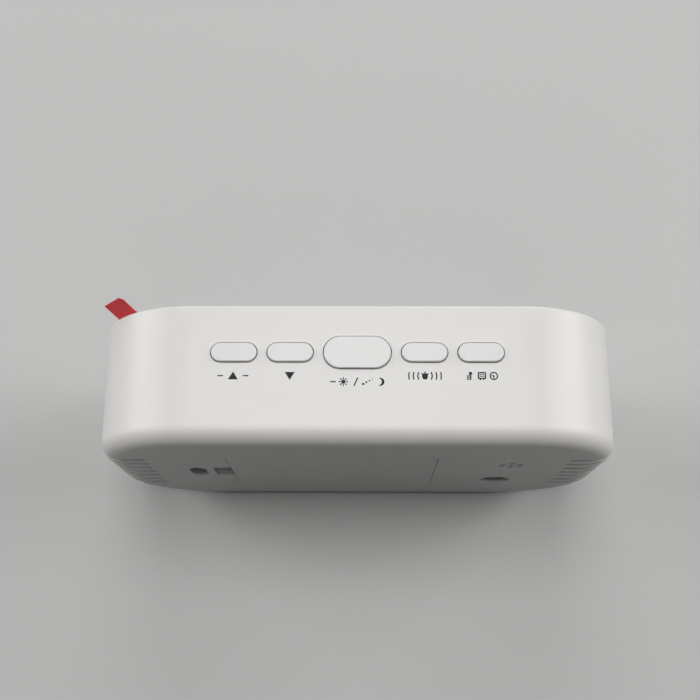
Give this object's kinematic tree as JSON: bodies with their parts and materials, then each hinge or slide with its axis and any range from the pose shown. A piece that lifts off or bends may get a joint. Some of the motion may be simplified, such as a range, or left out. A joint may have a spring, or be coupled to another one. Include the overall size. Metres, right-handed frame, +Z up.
{
  "type": "digital desk clock",
  "caption": "Small free-standing LED desk clock with a rounded white case, a row of push buttons along the top, a dark front lens and a battery door at the back.",
  "frame": {"origin": "on the surface the clock stands on, under the middle of the case", "axes": "+Z up, the display faces -Y, the battery door faces +Y, +X to the right of the person who reads the clock"},
  "size_m": [0.134, 0.0383, 0.0765],
  "materials": {
    "white_abs": "moulded ABS, fine satin texture",
    "button_abs": "moulded ABS, satin",
    "switch_plunger": "moulded nylon",
    "switch_housing": "moulded nylon",
    "foot_rubber": "die-cut soft rubber",
    "lens_acrylic": "smoked acrylic, polished",
    "tape_foam": "black adhesive foam",
    "clear_film": "clear protective film",
    "red_tab": "printed polyester film",
    "black_abs": "moulded ABS, matt",
    "screw_steel": "zinc-plated steel",
    "lit_diffuser": "milky light bar, lit",
    "dark_diffuser": "milky light bar, unlit",
    "diode_resin": "clear resin over phosphor",
    "circuit_board": "glass-epoxy board with solder mask",
    "chip_resin": "moulded epoxy",
    "crystal_can": "drawn nickel silver",
    "capacitor_sleeve": "shrunk sleeve on an aluminium can",
    "white_nylon": "moulded nylon",
    "ribbon_jacket": "extruded PVC",
    "nickel_plate": "nickel-plated spring steel",
    "black_nylon": "moulded nylon, matt",
    "wire_jacket": "extruded PVC",
    "cell_sleeve": "plain printed sleeve on a steel can"
  },
  "bodies": {
    "case": {"battery_cell_bottom": "cell_sleeve", "battery_cell_middle": "cell_sleeve", "battery_cell_top": "cell_sleeve", "battery_leads": "wire_jacket", "button_board": "circuit_board", "button_board_screws": "screw_steel", "button_ribbon": "ribbon_jacket", "buzzer": "black_nylon", "buzzer_leads": "wire_jacket", "capacitor": "capacitor_sleeve", "clock_chip": "chip_resin", "contact_plates": "nickel_plate", "contact_springs": "nickel_plate", "crystal": "crystal_can", "dark_light_bars": "dark_diffuser", "display_board": "circuit_board", "display_board_screws": "screw_steel", "display_reflector": "black_abs", "driver_chips": "chip_resin", "feet": "foot_rubber", "film_pull_tab": "red_tab", "frame_screws": "screw_steel", "front_lens": "lens_acrylic", "housing": "white_abs", "inner_frame": "black_abs", "lens_tape": "tape_foam", "lit_light_bars": "lit_diffuser", "power_board": "circuit_board", "power_board_screws": "screw_steel", "power_jack": "black_nylon", "power_jack_pin": "nickel_plate", "power_leads": "wire_jacket", "push_switch_alarm": "switch_housing", "push_switch_down": "switch_housing", "push_switch_mode": "switch_housing", "push_switch_snooze": "switch_housing", "push_switch_up": "switch_housing", "ribbon_socket": "white_nylon", "screen_film": "clear_film", "segment_diodes": "diode_resin", "slide_switch_body": "black_nylon", "switch_leads": "wire_jacket"},
    "mode_button": {"button_mode": "button_abs", "plunger_mode": "switch_plunger"},
    "alarm_button": {"button_alarm": "button_abs", "plunger_alarm": "switch_plunger"},
    "snooze_button": {"button_snooze": "button_abs", "plunger_snooze": "switch_plunger"},
    "up_button": {"button_up": "button_abs", "plunger_up": "switch_plunger"},
    "down_button": {"button_down": "button_abs", "plunger_down": "switch_plunger"},
    "battery_cover": {"battery_door": "white_abs"},
    "slide_knob": {"slide_switch_knob": "black_nylon"}
  },
  "joints": [
    {"name": "mode_press", "type": "slide", "parent": "case", "child": "mode_button", "axis": [0, 0, -1], "range_m": [0, 0.0005], "stiffness_N_per_m": 3000, "springref_m": -0.0001},
    {"name": "alarm_press", "type": "slide", "parent": "case", "child": "alarm_button", "axis": [0, 0, -1], "range_m": [0, 0.0005], "stiffness_N_per_m": 3000, "springref_m": -0.0001},
    {"name": "snooze_press", "type": "slide", "parent": "case", "child": "snooze_button", "axis": [0, 0, -1], "range_m": [0, 0.0005], "stiffness_N_per_m": 3000, "springref_m": -0.0001},
    {"name": "up_press", "type": "slide", "parent": "case", "child": "up_button", "axis": [0, 0, -1], "range_m": [0, 0.0005], "stiffness_N_per_m": 3000, "springref_m": -0.0001},
    {"name": "down_press", "type": "slide", "parent": "case", "child": "down_button", "axis": [0, 0, -1], "range_m": [0, 0.0005], "stiffness_N_per_m": 3000, "springref_m": -0.0001},
    {"name": "switch_slide", "type": "slide", "parent": "case", "child": "slide_knob", "axis": [0, 0, 1], "range_m": [0, 0.0032]},
    {"name": "door_tilt", "type": "hinge", "parent": "case", "child": "battery_cover", "pos_m": [-0.0209, 0.0175, 0.03825], "axis": [0, 0, 1], "range_deg": [0, 60]}
  ]
}
